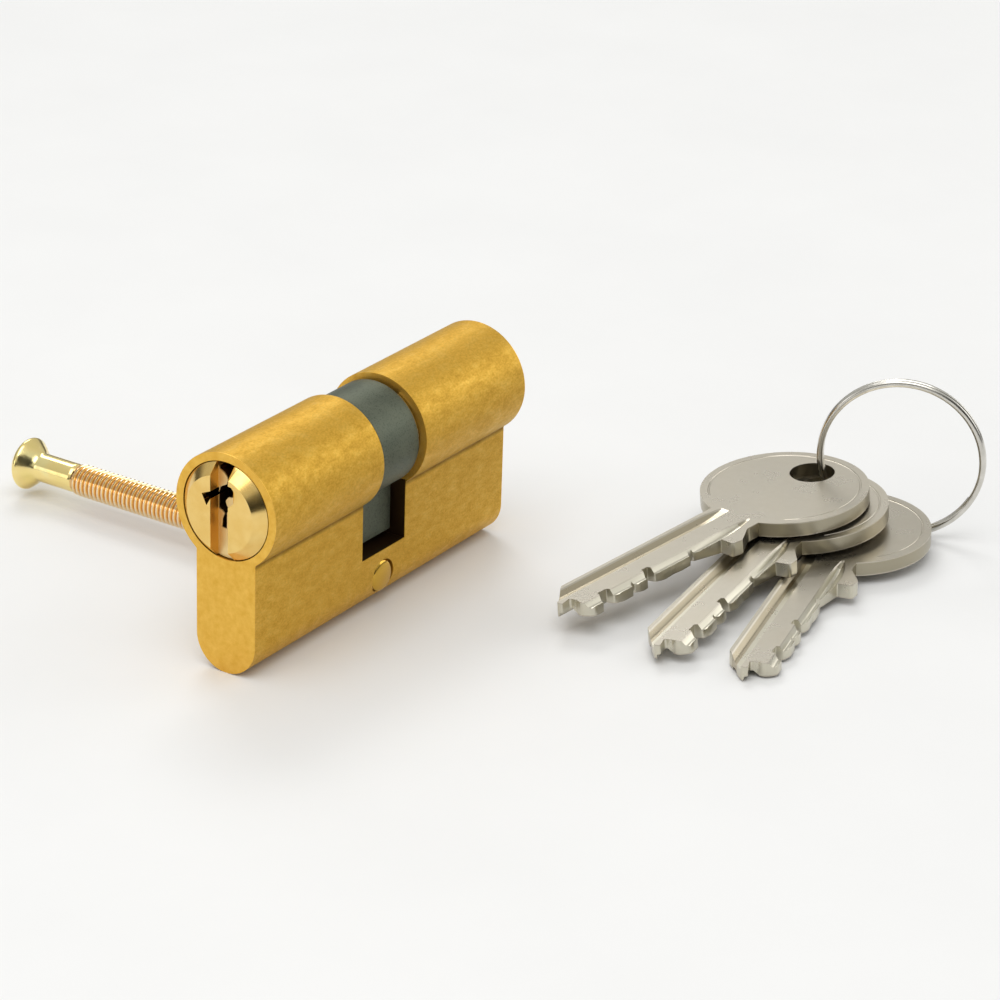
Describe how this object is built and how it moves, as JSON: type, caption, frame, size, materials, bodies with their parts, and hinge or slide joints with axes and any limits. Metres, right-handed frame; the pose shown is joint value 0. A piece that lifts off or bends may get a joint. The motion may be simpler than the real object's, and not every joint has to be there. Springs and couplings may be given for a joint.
{
  "type": "euro profile double lock cylinder with keys",
  "caption": "Brass euro-profile double lock cylinder for a mortice deadbolt, with its long fixing screw and a split ring of flat pin-tumbler keys.",
  "frame": {"origin": "on the axis of the plugs at mid-length, straight above the fixing screw hole", "axes": "+X along the plugs to the rear face, +Z away from the stem, which hangs down, +Y to the side the fixing screw comes in from"},
  "size_m": [0.1035, 0.1268, 0.033],
  "materials": {
    "raw_brass": "as-drawn satin brass with mottled grain",
    "polished_brass": "turned and polished brass",
    "pin_brass": "fine turned",
    "sintered_steel": "dark grey-green sintered steel",
    "spring_steel": "bright spring steel",
    "yellow_zinc": "yellow-passivated zinc plate with a faint iridescence",
    "nickel": "satin nickel plate",
    "ring_nickel": "bright nickel plate"
  },
  "bodies": {
    "housing": {"housing": "raw_brass", "chamber_cap_front_1": "raw_brass", "chamber_cap_front_2": "raw_brass", "chamber_cap_front_3": "raw_brass", "chamber_cap_front_4": "raw_brass", "chamber_cap_front_5": "raw_brass", "chamber_cap_rear_1": "raw_brass", "chamber_cap_rear_2": "raw_brass", "chamber_cap_rear_3": "raw_brass", "chamber_cap_rear_4": "raw_brass", "chamber_cap_rear_5": "raw_brass", "pin_spring_front_1": "spring_steel", "pin_spring_front_2": "spring_steel", "pin_spring_front_3": "spring_steel", "pin_spring_front_4": "spring_steel", "pin_spring_front_5": "spring_steel", "pin_spring_rear_1": "spring_steel", "pin_spring_rear_2": "spring_steel", "pin_spring_rear_3": "spring_steel", "pin_spring_rear_4": "spring_steel", "pin_spring_rear_5": "spring_steel"},
    "front_plug": {"plug_front": "polished_brass", "circlip_front": "spring_steel"},
    "rear_plug": {"plug_rear": "polished_brass", "circlip_rear": "spring_steel"},
    "cam": {"cam": "sintered_steel"},
    "clutch": {"clutch": "spring_steel"},
    "screw": {"fixing_screw": "yellow_zinc"},
    "ring": {"split_ring": "ring_nickel"},
    "key_1": {"key_1": "nickel"},
    "key_2": {"key_2": "nickel"},
    "key_3": {"key_3": "nickel"},
    "key_pin_front_1": {"key_pin_front_1": "pin_brass"},
    "key_pin_front_2": {"key_pin_front_2": "pin_brass"},
    "key_pin_front_3": {"key_pin_front_3": "pin_brass"},
    "key_pin_front_4": {"key_pin_front_4": "pin_brass"},
    "key_pin_front_5": {"key_pin_front_5": "pin_brass"},
    "key_pin_rear_1": {"key_pin_rear_1": "pin_brass"},
    "key_pin_rear_2": {"key_pin_rear_2": "pin_brass"},
    "key_pin_rear_3": {"key_pin_rear_3": "pin_brass"},
    "key_pin_rear_4": {"key_pin_rear_4": "pin_brass"},
    "key_pin_rear_5": {"key_pin_rear_5": "pin_brass"},
    "driver_pin_front_1": {"driver_pin_front_1": "spring_steel"},
    "driver_pin_front_2": {"driver_pin_front_2": "spring_steel"},
    "driver_pin_front_3": {"driver_pin_front_3": "spring_steel"},
    "driver_pin_front_4": {"driver_pin_front_4": "spring_steel"},
    "driver_pin_front_5": {"driver_pin_front_5": "spring_steel"},
    "driver_pin_rear_1": {"driver_pin_rear_1": "spring_steel"},
    "driver_pin_rear_2": {"driver_pin_rear_2": "spring_steel"},
    "driver_pin_rear_3": {"driver_pin_rear_3": "spring_steel"},
    "driver_pin_rear_4": {"driver_pin_rear_4": "spring_steel"},
    "driver_pin_rear_5": {"driver_pin_rear_5": "spring_steel"}
  },
  "joints": [
    {"name": "front_plug_turn", "type": "hinge", "parent": "housing", "child": "front_plug", "pos_m": [0, 0, 0], "axis": [1, 0, 0], "continuous": true},
    {"name": "rear_plug_turn", "type": "hinge", "parent": "housing", "child": "rear_plug", "pos_m": [0, 0, 0], "axis": [1, 0, 0], "continuous": true},
    {"name": "cam_turn", "type": "hinge", "parent": "housing", "child": "cam", "pos_m": [0, 0, 0], "axis": [1, 0, 0], "continuous": true},
    {"name": "clutch_slide", "type": "slide", "parent": "cam", "child": "clutch", "axis": [1, 0, 0], "range_m": [0, 0.0032]},
    {"name": "screw_withdraw", "type": "slide", "parent": "housing", "child": "screw", "axis": [0, 1, 0], "range_m": [0, 0.068]},
    {"name": "ring_lift", "type": "slide", "parent": "housing", "child": "ring", "axis": [0, 0, 1], "range_m": [0, 0.06]},
    {"name": "key_1_swing", "type": "hinge", "parent": "ring", "child": "key_1", "pos_m": [0.06048, -0.04106, -0.01627], "axis": [-0.0631, 0.0702, 0.9955], "range_deg": [-4, 12]},
    {"name": "key_2_swing", "type": "hinge", "parent": "ring", "child": "key_2", "pos_m": [0.06176, -0.04211, -0.01874], "axis": [-0.0712, 0.0704, 0.995], "range_deg": [-8, 2]},
    {"name": "key_3_swing", "type": "hinge", "parent": "ring", "child": "key_3", "pos_m": [0.06384, -0.04749, -0.02156], "axis": [-0.0351, 0.0207, 0.9992], "range_deg": [0, 8]},
    {"name": "key_pin_front_1_drop", "type": "slide", "parent": "front_plug", "child": "key_pin_front_1", "axis": [0, 0, 1], "range_m": [0, 0.0015]},
    {"name": "key_pin_front_2_drop", "type": "slide", "parent": "front_plug", "child": "key_pin_front_2", "axis": [0, 0, 1], "range_m": [0, 0.0015]},
    {"name": "key_pin_front_3_drop", "type": "slide", "parent": "front_plug", "child": "key_pin_front_3", "axis": [0, 0, 1], "range_m": [0, 0.0015]},
    {"name": "key_pin_front_4_drop", "type": "slide", "parent": "front_plug", "child": "key_pin_front_4", "axis": [0, 0, 1], "range_m": [0, 0.0015]},
    {"name": "key_pin_front_5_drop", "type": "slide", "parent": "front_plug", "child": "key_pin_front_5", "axis": [0, 0, 1], "range_m": [0, 0.0015]},
    {"name": "key_pin_rear_1_drop", "type": "slide", "parent": "rear_plug", "child": "key_pin_rear_1", "axis": [0, 0, 1], "range_m": [0, 0.0015]},
    {"name": "key_pin_rear_2_drop", "type": "slide", "parent": "rear_plug", "child": "key_pin_rear_2", "axis": [0, 0, 1], "range_m": [0, 0.0015]},
    {"name": "key_pin_rear_3_drop", "type": "slide", "parent": "rear_plug", "child": "key_pin_rear_3", "axis": [0, 0, 1], "range_m": [0, 0.0015]},
    {"name": "key_pin_rear_4_drop", "type": "slide", "parent": "rear_plug", "child": "key_pin_rear_4", "axis": [0, 0, 1], "range_m": [0, 0.0015]},
    {"name": "key_pin_rear_5_drop", "type": "slide", "parent": "rear_plug", "child": "key_pin_rear_5", "axis": [0, 0, 1], "range_m": [0, 0.0015]},
    {"name": "driver_pin_front_1_press", "type": "slide", "parent": "housing", "child": "driver_pin_front_1", "axis": [0, 0, -1], "range_m": [0, 0.0022], "stiffness_N_per_m": 150, "springref_m": -0.003, "deforming": ["pin_spring_front_1"]},
    {"name": "driver_pin_front_2_press", "type": "slide", "parent": "housing", "child": "driver_pin_front_2", "axis": [0, 0, -1], "range_m": [0, 0.0022], "stiffness_N_per_m": 150, "springref_m": -0.003, "deforming": ["pin_spring_front_2"]},
    {"name": "driver_pin_front_3_press", "type": "slide", "parent": "housing", "child": "driver_pin_front_3", "axis": [0, 0, -1], "range_m": [0, 0.0022], "stiffness_N_per_m": 150, "springref_m": -0.003, "deforming": ["pin_spring_front_3"]},
    {"name": "driver_pin_front_4_press", "type": "slide", "parent": "housing", "child": "driver_pin_front_4", "axis": [0, 0, -1], "range_m": [0, 0.0022], "stiffness_N_per_m": 150, "springref_m": -0.003, "deforming": ["pin_spring_front_4"]},
    {"name": "driver_pin_front_5_press", "type": "slide", "parent": "housing", "child": "driver_pin_front_5", "axis": [0, 0, -1], "range_m": [0, 0.0022], "stiffness_N_per_m": 150, "springref_m": -0.003, "deforming": ["pin_spring_front_5"]},
    {"name": "driver_pin_rear_1_press", "type": "slide", "parent": "housing", "child": "driver_pin_rear_1", "axis": [0, 0, -1], "range_m": [0, 0.0022], "stiffness_N_per_m": 150, "springref_m": -0.003, "deforming": ["pin_spring_rear_1"]},
    {"name": "driver_pin_rear_2_press", "type": "slide", "parent": "housing", "child": "driver_pin_rear_2", "axis": [0, 0, -1], "range_m": [0, 0.0022], "stiffness_N_per_m": 150, "springref_m": -0.003, "deforming": ["pin_spring_rear_2"]},
    {"name": "driver_pin_rear_3_press", "type": "slide", "parent": "housing", "child": "driver_pin_rear_3", "axis": [0, 0, -1], "range_m": [0, 0.0022], "stiffness_N_per_m": 150, "springref_m": -0.003, "deforming": ["pin_spring_rear_3"]},
    {"name": "driver_pin_rear_4_press", "type": "slide", "parent": "housing", "child": "driver_pin_rear_4", "axis": [0, 0, -1], "range_m": [0, 0.0022], "stiffness_N_per_m": 150, "springref_m": -0.003, "deforming": ["pin_spring_rear_4"]},
    {"name": "driver_pin_rear_5_press", "type": "slide", "parent": "housing", "child": "driver_pin_rear_5", "axis": [0, 0, -1], "range_m": [0, 0.0022], "stiffness_N_per_m": 150, "springref_m": -0.003, "deforming": ["pin_spring_rear_5"]}
  ],
  "couplings": [
    {"joint": "cam_turn", "follows": "front_plug_turn", "ratio": 1}
  ]
}
